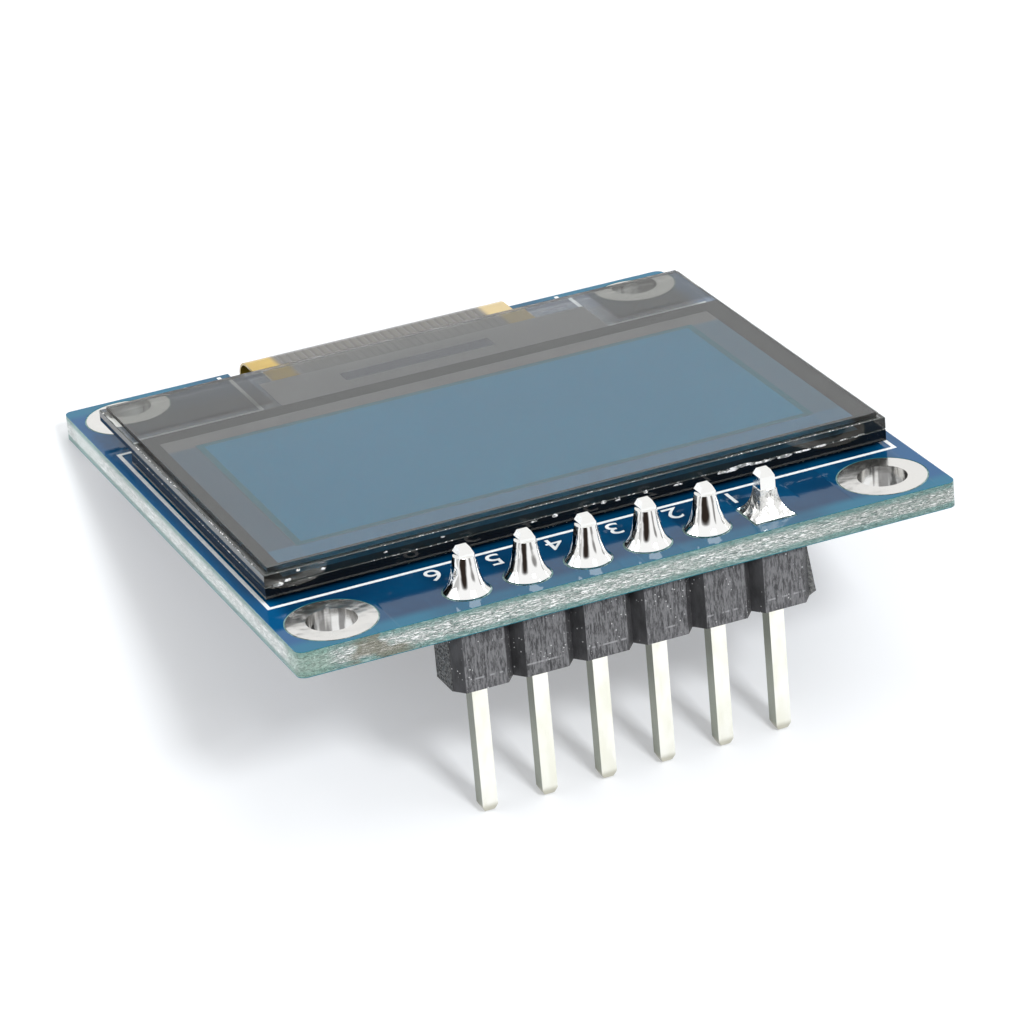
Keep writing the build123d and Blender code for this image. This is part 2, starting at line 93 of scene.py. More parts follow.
class Paint:
    """A material made of one principled surface, with nodes added and linked in one way."""

    def __init__(self, name, colour=(0.5, 0.5, 0.5), **values):
        self.material = bpy.data.materials.new(name)
        self.material.use_nodes = True
        self.tree = self.material.node_tree
        self.shader = self.tree.nodes["Principled BSDF"]
        self.set(Base_Color=(*colour, 1.0), **values)

    def node(self, kind, settings=None, sockets=None):
        node = self.tree.nodes.new("ShaderNode" + kind)
        for name, value in (settings or {}).items():
            setattr(node, name, value)
        for name, value in (sockets or {}).items():
            self.plug(node.inputs[name], value)
        return node

    def plug(self, socket, value):
        if isinstance(value, Wire):
            self.tree.links.new(value.socket, socket)
        elif isinstance(value, bpy.types.NodeSocket):
            self.tree.links.new(value, socket)
        else:
            socket.default_value = value

    def set(self, **values):
        for name, value in values.items():
            self.plug(self.shader.inputs[name.replace("_", " ")], value)

    def place(self, per_mm=(1, 1, 1), turn=(0, 0, 0)):
        """Object coordinates, so many pattern cells to a millimetre along each axis."""
        scale = tuple(1000 * count for count in per_mm)
        where = self.node("TexCoord").outputs["Object"]
        mapping = self.node("Mapping", None, {"Vector": where, "Scale": scale, "Rotation": turn})
        return mapping.outputs["Vector"]

    def axes(self):
        """The place on the object in millimetres, as three wires."""
        split = self.node("SeparateXYZ", None, {"Vector": self.place()})
        return [Wire(self, split.outputs[axis]) for axis in "XYZ"]

    def facing(self):
        """The surface's direction, as three wires."""
        split = self.node("SeparateXYZ", None, {"Vector": self.node("NewGeometry").outputs["Normal"]})
        return [Wire(self, split.outputs[axis]) for axis in "XYZ"]

    def grain(self, per_mm, detail=4.0, rough=0.6, turn=(0, 0, 0)):
        """Soft noise about 0.5, so many lumps to a millimetre along each axis."""
        noise = self.node(
            "TexNoise", None,
            {"Vector": self.place(per_mm, turn), "Scale": 1.0, "Detail": detail, "Roughness": rough},
        )
        return Wire(self, noise.outputs["Fac"])

    def cells(self, per_mm):
        """The distance to the nearest of scattered points, 0 at each point."""
        voronoi = self.node("TexVoronoi", None, {"Vector": self.place(per_mm), "Scale": 1.0})
        return Wire(self, voronoi.outputs["Distance"])

    def blend(self, amount, first, second):
        """A colour between two colours, each a tuple or an earlier blend."""
        pair = [(*colour, 1.0) if isinstance(colour, tuple) else colour for colour in (first, second)]
        node = self.node("Mix", {"data_type": "RGBA"}, {0: amount, 6: pair[0], 7: pair[1]})
        return node.outputs[2]

    def bump(self, height, depth_mm):
        """The surface's direction with a relief on it: a height of 1 stands so deep."""
        node = self.node("Bump", None, {"Height": height, "Distance": depth_mm / 1000})
        return node.outputs["Normal"]


def dress(paint, *names):
    """CAD nodes take this material in all their slots."""
    for name in names:
        for material_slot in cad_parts[name].material_slots:
            material_slot.material = paint.material


board_low, board_high = (corner * 1000 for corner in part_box("circuit_board"))
ply_thickness = 0.2
laminate = Paint("glass fibre laminate", Roughness=0.5)
x, y, z = laminate.axes()
from_left = x - board_low.x
from_front = y - board_low.y
above_back_face = z - board_low.z
below_front_face = board_high.z - z
dashes = laminate.grain((3.0, 3.0, 24.0))
lint = laminate.grain((11.0, 11.0, 32.0), detail=3.0, rough=0.7)
shaded_hollows = laminate.grain((3.2, 3.2, 19.0), detail=3.0, turn=(0, 0, 0.6)).ramp(0.53, 0.64)
ply = abs((z * (1 / ply_thickness)).fraction() - 0.5).ramp(0.50, 0.34)
smooth_resin = laminate.grain((0.16, 0.16, 0.16), detail=2.0).ramp(0.56, 0.66)
torn = (dashes * 0.85 + lint * 0.35).ramp(0.57, 0.63) * (ply * 0.7 + 0.3) * (1.0 - smooth_resin * 0.8)
skin = above_back_face.ramp(0.31, 0.11).larger(below_front_face.ramp(0.33, 0.09))
stained_corner = from_left.ramp(5.0, 4.1) * from_left.ramp(1.7, 2.5) * from_front.ramp(0.45, 0.15)
stain = laminate.grain((0.5, 0.5, 1.6), detail=3.0).ramp(0.44, 0.58) * (stained_corner * 0.7 + 0.06)
cut_corner = from_left.ramp(1.7, 1.0) * from_front.ramp(1.65, 0.65)
lit_left_side = (0.0 - laminate.facing()[0]).ramp(0.7, 0.95)
fibre_tone = laminate.blend(lint.ramp(0.3, 0.7), (0.22, 0.295, 0.27), (0.55, 0.63, 0.59))
fibre_tone = laminate.blend(torn * (1.0 - cut_corner * 0.8), fibre_tone, (0.97, 0.98, 0.97))
fibre_tone = laminate.blend(from_left.ramp(17.9, 25.9) * 0.28, fibre_tone, (0.18, 0.22, 0.19))
# Painted shade: the hollows between the torn fibres are darkened.
fibre_tone = laminate.blend(shaded_hollows * 0.75, fibre_tone, (0.085, 0.15, 0.14))
# Painted light: faces turned to the left are painted lighter.
fibre_tone = laminate.blend(lit_left_side * 0.55, fibre_tone, (0.90, 0.93, 0.92))
fibre_tone = laminate.blend(skin * 0.75, fibre_tone, (0.10, 0.27, 0.25))
fibre_tone = laminate.blend(cut_corner * 0.6, fibre_tone, (0.28, 0.44, 0.36))
fibre_tone = laminate.blend(stain, fibre_tone, (0.22, 0.20, 0.14))
laminate.set(
    Base_Color=fibre_tone,
    Normal=laminate.bump(torn * 0.9 + lint * 0.5, 0.04),
)
dress(laminate, "circuit_board")


# Lacquer on both faces of the board: blue solder mask, flowed on and cured to a hard gloss.
# It is a film over the copper, so tracks show as low ridges with a slightly lighter tone. Along the rim,
# where the copper ends over bare laminate, the lacquer is painted lighter and more teal as light shining
# through the board's edge, and painted shade from the joints keeps it darker beside the pins.
def lacquer(name, track_pitch_mm):
    paint = Paint(name, Roughness=0.07, Specular_IOR_Level=0.26)
    x, y, z = paint.axes()
    lane = abs((x * (1 / track_pitch_mm) + 0.5).fraction() - 0.5)
    tracked_part = paint.grain((0.12, 0.12, 0.12), detail=1.0).ramp(0.48, 0.52)
    track = (0.17 - lane).ramp(-0.02, 0.02) * tracked_part
    cloud = paint.grain((0.35, 0.35, 0.35), detail=3.0)
    flow = paint.grain((1.4, 1.4, 1.4), detail=2.0)
    tone = paint.blend(cloud.ramp(0.3, 0.7), (0.0, 0.032, 0.090), (0.0, 0.043, 0.112))
    tone = paint.blend(track * 0.3, tone, (0.0, 0.075, 0.18))
    edge_lit_side_rim = abs(x).ramp(board_high.x - 1.3, board_high.x - 0.5)
    edge_lit_end_rim = abs(y).ramp(board_high.y - 1.15, board_high.y - 0.45)
    shaded_beside_pins = abs(x).ramp(9.0, 7.5)
    # Painted light along the rim, with painted shade beside the pins.
    tone = paint.blend(edge_lit_side_rim * 0.85, tone, (0.0, 0.080, 0.215))
    tone = paint.blend(edge_lit_end_rim * (0.85 - shaded_beside_pins * 0.4), tone, (0.0, 0.125, 0.215))
    side = 1.0 - abs(paint.facing()[2]).ramp(0.4, 0.6)
    tone = paint.blend(side * 0.7, tone, (0.02, 0.20, 0.24))
    paint.set(Base_Color=tone, Normal=paint.bump(track * 0.35 + flow * 0.15 + cloud * 0.15, 0.02))
    return paint


dress(lacquer("blue lacquer front", track_pitch_mm=2.54), "front_solder_mask")
dress(lacquer("blue lacquer back", track_pitch_mm=1.27), "back_solder_mask")


# Plated holes and pads: copper plated through the drilled holes and levelled with hot solder, so they are
# bright tin with soft ripples. The holes' walls show the drill's fine rings, and they are painted darker
# with dark upright streaks, as painted reflection of the holes' dark inside.
tin = Paint("levelled tin", Metallic=1.0)
pool = tin.grain((0.9, 0.9, 0.9), detail=2.0)
rings = tin.grain((0.6, 0.6, 9.0), detail=3.0)
shaded_walls = 1.0 - abs(tin.facing()[2]).ramp(0.3, 0.6)
streaks = tin.grain((2.2, 2.2, 0.3), detail=2.0).ramp(0.48, 0.60)
tin.set(
    # Painted reflection: upright faces are darkened, with dark upright streaks.
    Base_Color=tin.blend(shaded_walls * (streaks * 0.75 + 0.1), (0.79, 0.78, 0.755), (0.15, 0.145, 0.14)),
    Roughness=pool.ramp(0.3, 0.8) * 0.14 + 0.13,
    Normal=tin.bump(pool * 0.9 + rings * 0.05, 0.05),
)
dress(tin, "back_pads")
for number in range(1, 5):
    dress(tin, f"mounting_hole_plating_{number}")
for number in range(1, 7):
    dress(tin, f"pin_hole_plating_{number}")


# Header strip: glass-filled black nylon, moulded in long bars and snapped to length. Its faces are
# scuffed, and the front faces are painted lighter grey, as the lit side, with fine upright scratches and a
# faint line that the mould left. It has white dust, and its two ends are rough breaks.
strip_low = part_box("header_strip")[0] * 1000
nylon = Paint("black nylon", Roughness=0.5, Specular_IOR_Level=0.17)
x, y, z = nylon.axes()
scratch = nylon.grain((13.0, 13.0, 2.4), detail=6.0, rough=0.75)
scuff = nylon.grain((1.6, 1.6, 0.7), detail=3.0)
pits = nylon.cells((7.0, 7.0, 7.0))
dusty_part = nylon.grain((0.9, 0.9, 0.9), detail=1.0).ramp(0.48, 0.56)
speck = (0.15 - nylon.cells((5.0, 5.0, 5.0))).ramp(0.0, 0.05) * dusty_part
broken = abs(x).ramp(-strip_low.x - 0.05, -strip_low.x - 0.01)
front = (0.0 - nylon.facing()[1]).ramp(0.75, 0.95)
witness_z = strip_low.z + 0.52
witness_part = nylon.grain((3.2, 3.2, 0.5), detail=2.0).ramp(0.46, 0.56)
witness = abs(z - witness_z).ramp(0.05, 0.02) * witness_part
grey = nylon.blend(scuff.ramp(0.3, 0.7), (0.036, 0.036, 0.038), (0.075, 0.075, 0.079))
# Painted light: the front faces are painted lighter grey than the others.
grey = nylon.blend(front * (scratch.ramp(0.41, 0.59) * 0.95 + 0.05), grey, (0.20, 0.20, 0.208))
grey = nylon.blend(front * witness * 0.55, grey, (0.42, 0.42, 0.43))
grey = nylon.blend(broken * pits.ramp(0.2, 0.5) * 0.8, grey, (0.21, 0.215, 0.21))
grey = nylon.blend(speck * 0.8, grey, (0.75, 0.75, 0.75))
nylon.set(
    Base_Color=grey,
    Roughness=scratch.ramp(0.3, 0.8) * 0.25 + 0.36,
    Normal=nylon.bump(scratch * 0.5 + scuff * 0.35 + broken * pits * 3.0, 0.07),
)
dress(nylon, "header_strip")


# Header pins: square brass wire, drawn, tinned and cut, so the flats carry faint lines along the pin. The
# tin is warm in tone and duller at the cut ends, the left flats are darkened by painted shade, and it is
# wetted with solder above the board.
pin_tin = Paint("tinned pin", Metallic=1.0)
drawn = pin_tin.grain((9.0, 9.0, 0.35), detail=3.0)
dull = pin_tin.grain((1.2, 1.2, 0.5), detail=3.0)
x, y, z = pin_tin.axes()
soldered = z.ramp(1.6, 1.9)
warm = pin_tin.blend(dull.ramp(0.35, 0.7), (0.93, 0.92, 0.85), (0.86, 0.85, 0.74))
# Painted shade: the left flats are darkened.
painted_shade_left_flats = (0.0 - pin_tin.facing()[0]).ramp(0.7, 0.95)
warm = pin_tin.blend(painted_shade_left_flats * 0.92, warm, (0.26, 0.28, 0.225))
cut_end = z.ramp(strip_low.z - 5.3, strip_low.z - 5.6)
warm = pin_tin.blend(cut_end * 0.8, warm, (0.50, 0.48, 0.39))
pin_tin.set(
    Base_Color=pin_tin.blend(soldered, warm, (0.90, 0.90, 0.88)),
    Roughness=(dull.ramp(0.3, 0.7) * 0.10 + 0.14) * (1.0 - soldered) + soldered * 0.06,
    Normal=pin_tin.bump(drawn, 0.008),
)
for number in range(1, 7):
    dress(pin_tin, f"header_pin_{number}")


# Solder joints: each is one drop of solder, drawn up its pin and set bright. The first was
# worked on again and froze in facets.
solder = Paint("bright solder", colour=(0.93, 0.93, 0.92), Metallic=1.0, Roughness=0.045)
flutes = solder.grain((1.2, 1.2, 0.35), detail=1.0)
solder.set(Normal=solder.bump(flutes, 0.11))
for number in range(2, 7):
    dress(solder, f"solder_joint_{number}")
dress(solder, "flex_solder_joints", "chip_solder_fillets")

rough_solder = Paint("reworked solder", colour=(0.80, 0.80, 0.78), Metallic=1.0, Roughness=0.22)
facets = rough_solder.cells((2.1, 2.1, 1.3))
crust = rough_solder.grain((3.0, 3.0, 3.0), detail=3.0)
rough_solder.set(Normal=rough_solder.bump(facets * 1.0 + crust * 0.5, 0.12))
dress(rough_solder, "solder_joint_1")


# Printed outline: white ink, screened on the lacquer in one line round the panel and the flex.
# The ink is a little thin in places.
ink = Paint("white ink", Roughness=0.6)
wear = ink.grain((3.0, 3.0, 3.0), detail=3.0)
ink.set(Base_Color=ink.blend(wear.ramp(0.3, 0.75), (0.86, 0.88, 0.88), (0.70, 0.74, 0.76)))
dress(ink, "printed_outline")


# Pin numbers: the same white ink, a plain figure beside each pin, to be read with the pins at
# the top.
figure_size = 0.00147
figure_thickness = 0.00002
figure_gap = 0.00062
figure_shift = -0.00055
lacquer_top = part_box("front_solder_mask")[1].z
figure_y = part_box("printed_outline")[0].y - figure_gap
for number in range(1, 7):
    bpy.ops.object.select_all(action="DESELECT")
    pin_low, pin_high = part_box(f"header_pin_{number}")
    figure_x = (pin_low.x + pin_high.x) / 2 + figure_shift
    bpy.ops.object.text_add(location=(figure_x, figure_y, lacquer_top))
    figure = bpy.context.object
    figure.name = f"pin_number_{number}"
    figure.data.body = str(number)
    figure.data.size = figure_size
    figure.data.extrude = figure_thickness / 2
    figure.data.align_x = "CENTER"
    figure.data.align_y = "CENTER"
    figure.rotation_euler = (0, 0, math.pi)
    bpy.ops.object.convert(target="MESH")
    bpy.ops.object.transform_apply(location=True, rotation=True, scale=True)
    figure.data.materials.clear()
    figure.data.materials.append(ink.material)
    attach(figure, "root")


# Mounting tape: dark foam tape with adhesive on both faces, seen only as a dark line in the
# gap under the panel and through the clear rim of the glass.
tape = Paint("foam tape", colour=(0.020, 0.022, 0.022), Roughness=0.8)
tape.set(Normal=tape.bump(tape.cells((6.0, 6.0, 6.0)), 0.02))
dress(tape, "mounting_tape")


# Display glass: two panes of thin soda-lime glass, scored and snapped, so their edges are sharp and finely
# chipped, with the nicks painted white as glints. The lower one is etched hollow over the pixels. The
# upper one carries fine metal tracks on its underside, beside the pins and from them to the chip.
wetting = 0.000004
chip_width = 0.000024
deepest_bite = 2.0 * chip_width
cut_count = 48
touching = 1e-7
chipped_slot, side_slot, track_slot = 1, 2, 3


def edit_selected(pane, pick_faces=None, pick_edges=None):
    """Edit mode with only the picked faces or edges selected."""
    bpy.ops.object.mode_set(mode="EDIT")
    bpy.ops.mesh.select_mode(type="FACE" if pick_faces else "EDGE")
    bpy.ops.mesh.select_all(action="DESELECT")
    bpy.ops.object.mode_set(mode="OBJECT")
    if pick_faces:
        for face in pane.data.polygons:
            face.select = pick_faces(face)
    else:
        for edge in pane.data.edges:
            ends = [pane.data.vertices[index].co for index in edge.vertices]
            edge.select = pick_edges(ends)
    bpy.ops.object.mode_set(mode="EDIT")


def cut_pane(pane, places):
    """Straight cuts right through the pane, each at a place along X or Y."""
    bpy.ops.object.mode_set(mode="EDIT")
    for axis, place in places:
        point = [0.0, 0.0, 0.0]
        point[axis] = place
        normal = [1.0 if index == axis else 0.0 for index in range(3)]
        bpy.ops.mesh.select_all(action="SELECT")
        bpy.ops.mesh.bisect(plane_co=point, plane_no=normal)
    bpy.ops.object.mode_set(mode="OBJECT")


def make_pane(node, name, materials, recess=None, track_fields=(), seed=1):
    """A pane as large as its node, with what is etched or laid on it and chipped edges.

    Its faces reach a few microns into what is bonded to them, as the bond wets them. The
    materials are the clear glass, the chipped edges, the sides and the metal tracks."""
    low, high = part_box(node)
    low = low - Vector((0, 0, wetting))
    high = high + Vector((0, 0, wetting))
    bpy.ops.object.select_all(action="DESELECT")
    bpy.ops.mesh.primitive_cube_add(size=1, location=(low + high) / 2)
    pane = bpy.context.object
    pane.name = name
    pane.scale = high - low
    bpy.ops.object.transform_apply(location=True, rotation=True, scale=True)
    for paint in materials:
        pane.data.materials.append(paint.material)
    if recess:
        rim_width, depth = recess
        edit_selected(pane, pick_faces=lambda face: face.normal.z > 0.9)
        bpy.ops.mesh.inset(thickness=rim_width)
        bpy.ops.mesh.extrude_region_move(TRANSFORM_OT_translate={"value": (0, 0, -depth)})
        bpy.ops.object.mode_set(mode="OBJECT")
    cuts = set()
    for axis in (0, 1):
        length = high[axis] - low[axis]
        cuts |= {(axis, low[axis] + length * step / cut_count) for step in range(1, cut_count)}
    for left, front, right, back in track_fields:
        cuts |= {(0, left), (0, right), (1, front), (1, back)}
    cut_pane(pane, sorted(cuts))
    for face in pane.data.polygons:
        if abs(face.normal.z) < 0.1:
            face.material_index = side_slot
        for left, front, right, back in track_fields:
            if face.normal.z < -0.9 and left < face.center.x < right and front < face.center.y < back:
                face.material_index = track_slot

    def on_rim(ends):
        at_side = any(
            all(abs(end[axis] - bound[axis]) < touching for end in ends)
            for axis in (0, 1) for bound in (low, high)
        )
        at_face = any(all(abs(end.z - bound.z) < touching for end in ends) for bound in (low, high))
        return at_side and at_face

    edit_selected(pane, pick_edges=on_rim)
    bpy.ops.mesh.bevel(offset=chip_width, segments=1, affect="EDGES", material=chipped_slot)
    bpy.ops.object.mode_set(mode="OBJECT")
    draw = random.Random(seed)
    middle = (low + high) / 2
    for vertex in pane.data.vertices:
        on_flat = min(vertex.co.z - low.z, high.z - vertex.co.z) < touching
        for axis in (0, 1):
            side = 1 if vertex.co[axis] > middle[axis] else -1
            bound = high[axis] if side > 0 else low[axis]
            if on_flat and abs(vertex.co[axis] - bound) < 1.2 * chip_width:
                vertex.co[axis] -= side * deepest_bite * draw.random() ** 3
    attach(pane, "root")
    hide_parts(node)
    return pane


def pane_glass(name, colour):
    paint = Paint(name, colour=colour, Roughness=0.0, IOR=1.5, Transmission_Weight=1.0)
    darker = tuple(0.96 * part for part in colour)
    paint.set(Base_Color=paint.blend(paint.grain((0.2, 0.2, 0.2)).ramp(0.3, 0.7), colour, darker))
    return paint


# Painted shade: the panes' sides are tinted dark brown-grey, so their faces read dark.
snapped = pane_glass("snapped glass side", (0.115, 0.103, 0.085))
# The chipped bevels are dark glass with their nicks painted white: painted glints.
chipped = Paint("chipped glass edge", Roughness=0.25)
nicks_and_glints = chipped.grain((9.0, 9.0, 9.0), detail=3.0, rough=0.6).ramp(0.54, 0.62)
nicked_part = chipped.grain((0.35, 0.35, 0.35), detail=2.0).ramp(0.40, 0.56)
chipped.set(
    Base_Color=chipped.blend(nicks_and_glints * nicked_part, (0.05, 0.058, 0.054), (0.95, 0.95, 0.93)),
    Normal=chipped.bump(nicks_and_glints, 0.02),
)
tracks = Paint("metal tracks", Metallic=0.5, Roughness=0.4)
x, y, z = tracks.axes()
comb_per_mm = 9.0
lines_per_mm = 7.0
comb = abs((x * comb_per_mm).fraction() - 0.5).ramp(0.2, 0.3) * y.ramp(6.4, 6.6)
lines = abs((y * lines_per_mm).fraction() - 0.5).ramp(0.2, 0.3) * abs(x).ramp(11.0, 11.2)
# The tracks' tone is painted across the pane: bluer near the front and to the right, lighter grey towards
# the back as painted reflection, and near black along the front edge as painted shade.
tone = tracks.blend(x.ramp(-8.0, 8.0), (0.12, 0.23, 0.33), (0.13, 0.30, 0.43))
tone = tracks.blend(y.ramp(-6.7, -6.9), tone, (0.11, 0.34, 0.55))
tone = tracks.blend(y.ramp(4.2, 4.7), tone, (0.345, 0.34, 0.335))
tone = tracks.blend(y.ramp(-8.2, -8.45), tone, (0.03, 0.034, 0.032))
tracks.set(Base_Color=tracks.blend((comb + lines) * 0.25, tone, (0.36, 0.36, 0.36)))

cap_low, cap_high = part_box("cap_glass")
sheet_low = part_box("drying_sheet")[0]
film_low, film_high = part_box("frame_film")
sheet_gap = 0.00035
recess_rim = sheet_low.x - cap_low.x - sheet_gap
recess_depth = cap_high.z + wetting - sheet_low.z
# Painted shade: the lower pane's glass is tinted near black, so its front reads black.
make_pane(
    "cap_glass", "lower_pane",
    [pane_glass("lower pane glass", (0.09, 0.10, 0.09)), chipped, snapped],
    recess=(recess_rim, recess_depth), seed=4,
)
side_field = 0.00175
film_gap = 0.00003
fields_left, fields_right = film_low.x - side_field, film_high.x + side_field
fields_front, fields_back = cap_low.y + 0.00005, cap_high.y - 0.0001
film_left, film_right = film_low.x - film_gap, film_high.x + film_gap
film_front, film_back = film_low.y - film_gap, film_high.y + film_gap
comb_left, comb_right, comb_back = -0.0066, 0.0082, 0.00916
make_pane(
    "substrate_glass", "upper_pane",
    [pane_glass("upper pane glass", (0.90, 0.93, 0.92)), chipped, snapped, tracks],
    track_fields=(
        (fields_left, film_front, film_left, fields_back),
        (film_right, film_front, fields_right, fields_back),
        (film_left, film_back, film_right, fields_back),
        (fields_left, fields_front, fields_right, film_front),
        (comb_left, fields_back, comb_right, comb_back),
    ),
    seed=9,
)

# Chips along the snapped edges: shallow shells broken out of the glass, painted white with darker gaps as
# glints.
# Each has its place along the front edge, its lift above the seam, its length and its height.
shell = Paint("fresh glass chip", Roughness=0.12)
glint_ripple = shell.grain((5, 5, 5), detail=3.0)
# Painted glints: white, with darker gaps.
shell.set(
    Base_Color=shell.blend(glint_ripple.ramp(0.38, 0.55), (0.22, 0.23, 0.22), (0.98, 0.98, 0.97)),
    Normal=shell.bump(glint_ripple, 0.06),
)
seam_z = (cap_high.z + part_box("substrate_glass")[0].z) / 2
chip_depth = 0.00002
front_chips = (
    (-12.75, 0.02, 0.40, 0.15), (-12.35, 0.10, 0.25, 0.09), (-11.9, 0.40, 0.12, 0.06),
    (-10.9, 0.19, 0.18, 0.08), (-8.3, 0.22, 0.12, 0.04), (-5.9, 0.24, 0.14, 0.04),
    (-2.1, -0.10, 0.26, 0.04), (-1.2, -0.08, 0.22, 0.11), (0.9, -0.04, 0.22, 0.12),
    (1.5, -0.10, 0.20, 0.05), (2.7, -0.08, 0.16, 0.07), (4.1, -0.10, 0.36, 0.05),
    (6.3, -0.08, 0.95, 0.09), (6.9, 0.01, 1.05, 0.11), (7.8, -0.06, 1.10, 0.07),
    (8.8, -0.06, 0.70, 0.11), (9.6, -0.04, 0.70, 0.05), (10.4, -0.02, 0.50, 0.06),
    (11.4, 0.00, 0.22, 0.03), (12.2, 0.02, 0.28, 0.05),
)
bpy.ops.object.select_all(action="DESELECT")
chips = []
for place, lift, length, height in front_chips:
    bpy.ops.mesh.primitive_ico_sphere_add(
        subdivisions=3, radius=1, scale=(length / 2000, chip_depth, height / 2000),
        location=(place / 1000, cap_low.y, seam_z + lift / 1000),
    )
    chips.append(bpy.context.object)
for chip in chips:
    chip.select_set(True)
bpy.context.view_layer.objects.active = chips[0]
bpy.ops.object.join()
chips = bpy.context.object
chips.name = "glass_edge_chips"
bpy.ops.object.transform_apply(location=True, rotation=True, scale=True)
ragged_x = 0.00006
ragged_z = 0.00005
draw = random.Random(12)
for vertex in chips.data.vertices:
    vertex.co.x += (draw.random() - 0.5) * ragged_x
    vertex.co.z += (draw.random() - 0.5) * ragged_z
chips.data.materials.clear()
chips.data.materials.append(shell.material)
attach(chips, "root")

# Drying sheet and seal: a pressed sheet of drying agent lies in the etched recess, and a bead
# of epoxy, cured dark, closes the gap between the panes all round.
# Painted shade: the drying sheet is painted near black, standing for the shade in the recess.
drying = Paint("drying sheet", colour=(0.10, 0.10, 0.10), Roughness=0.9)
drying.set(Normal=drying.bump(drying.grain((5, 5, 5), detail=4.0), 0.02))
dress(drying, "drying_sheet")

seal = Paint("panel epoxy", colour=(0.035, 0.038, 0.035), Roughness=0.35)
dress(seal, "panel_seal")


# Pixels: a film of organic layers backed by vapour-coated aluminium, switched off, so it
# shows as one flat blue grey, with a border of yellowish insulating film.
pixels = Paint("pixel film", Roughness=0.35)
haze = pixels.grain((0.08, 0.08, 0.08), detail=2.0)
pixels.set(Base_Color=pixels.blend(haze.ramp(0.3, 0.7), (0.0, 0.345, 0.605), (0.01, 0.37, 0.63)))
dress(pixels, "pixel_film")
border = Paint("insulating film", colour=(0.03, 0.27, 0.35), Roughness=0.4)
dress(border, "frame_film")


# Polarizer: a plastic film with a hard clear surface, laminated on the upper pane. It turns mirrored light
# away, so what lies deep under it, past the pixels, shows only faintly; the film is painted darker over
# the clear ledge as painted shade for this.
polarizer = Paint("polarizer film", IOR=1.36, Transmission_Weight=1.0)
x, y, z = polarizer.axes()
shaded_over_ledge = y.ramp(6.35, 6.6) * x.ramp(-6.9, -7.1).larger(x.ramp(8.6, 8.8))
cut_side = 1.0 - abs(polarizer.facing()[2]).ramp(0.4, 0.6)
film_tone = polarizer.blend(shaded_over_ledge, (0.78, 0.79, 0.80), (0.39, 0.39, 0.38))
polarizer.set(
    Base_Color=polarizer.blend(cut_side, film_tone, (0.48, 0.43, 0.39)),
    Roughness=cut_side * 0.4 + 0.02,
)
dress(polarizer, "polarizer")


# Driver chip: a sliver of silicon, sawn from a polished wafer and bonded under the ledge of the
# upper pane, so that little more than its outline shows.
silicon = Paint("polished silicon", colour=(0.16, 0.17, 0.20), Metallic=1.0, Roughness=0.2)
silicon.set(Normal=silicon.bump(silicon.cells((8, 20, 8)), 0.004))
dress(silicon, "driver_chip")


# Flex: yellow polyimide film with copper tracks inside, which show as dark stripes over all
# but its two margins, and grey where they are bonded to the glass and on the foot. Its right
# margin is paler.
flex = Paint("polyimide flex", Roughness=0.22, Coat_Weight=0.3, Coat_Roughness=0.1)
x, y, z = flex.axes()
neck_half = 6.0
track_pitch = 0.36
margin = abs(x).ramp(neck_half - 1.35, neck_half - 1.0)
stripe = abs((x * (1 / track_pitch)).fraction() - 0.5).ramp(0.17, 0.24)
film = flex.blend(flex.grain((0.4, 0.4, 0.4)).ramp(0.3, 0.7), (0.44, 0.28, 0.024), (0.51, 0.34, 0.04))
film = flex.blend(x.ramp(0.0, 1.0) * 0.3, film, (0.68, 0.63, 0.52))
dark_tracks = flex.blend(stripe, (0.085, 0.080, 0.072), (0.105, 0.10, 0.088))
copper = flex.blend(y.ramp(10.45, 10.30), dark_tracks, (0.28, 0.275, 0.26))
flex.set(
    Base_Color=flex.blend(margin, copper, film),
    Normal=flex.bump(stripe * (1.0 - margin), 0.02),
)
dress(flex, "display_flex")


# Chip parts on the back: fired ceramic blocks with tinned ends, and a small moulded
# regulator on three tinned leads.
def chip_paint(name, body, spots_y, half_body):
    """The tinned ends are told from the ceramic by their distance from the chip's middle."""
    paint = Paint(name, Roughness=0.4)
    x, y, z = paint.axes()
    end = abs(y - spots_y).ramp(half_body - 0.01, half_body + 0.01)
    speckle = paint.grain((6, 6, 6), detail=3.0)
    ceramic = paint.blend(speckle.ramp(0.3, 0.7), body, tuple(0.8 * part for part in body))
    paint.set(
        Base_Color=paint.blend(end, ceramic, (0.78, 0.78, 0.76)),
        Metallic=end,
        Roughness=0.45 - end * 0.2,
        Normal=paint.bump(speckle, 0.015),
    )
    return paint


def middle_y(node):
    low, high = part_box(node)
    return (low.y + high.y) * 500


end_length = 0.3
chip_low, chip_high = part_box("capacitor_1")
end_reach = (chip_high.y - chip_low.y) * 500 - end_length
capacitor_paint = chip_paint("capacitor ceramic", (0.42, 0.30, 0.19), middle_y("capacitor_1"), end_reach)
resistor_paint = chip_paint("resistor glaze", (0.02, 0.02, 0.023), middle_y("resistor_1"), end_reach)
for number in range(1, 6):
    dress(capacitor_paint, f"capacitor_{number}")
for number in range(1, 5):
    dress(resistor_paint, f"resistor_{number}")

moulding = Paint("black moulding", colour=(0.018, 0.018, 0.020), Roughness=0.55)
moulding.set(Normal=moulding.bump(moulding.grain((14, 14, 14), detail=3.0), 0.02))
dress(moulding, "regulator_body")
for number in range(1, 4):
    dress(tin, f"regulator_lead_{number}")


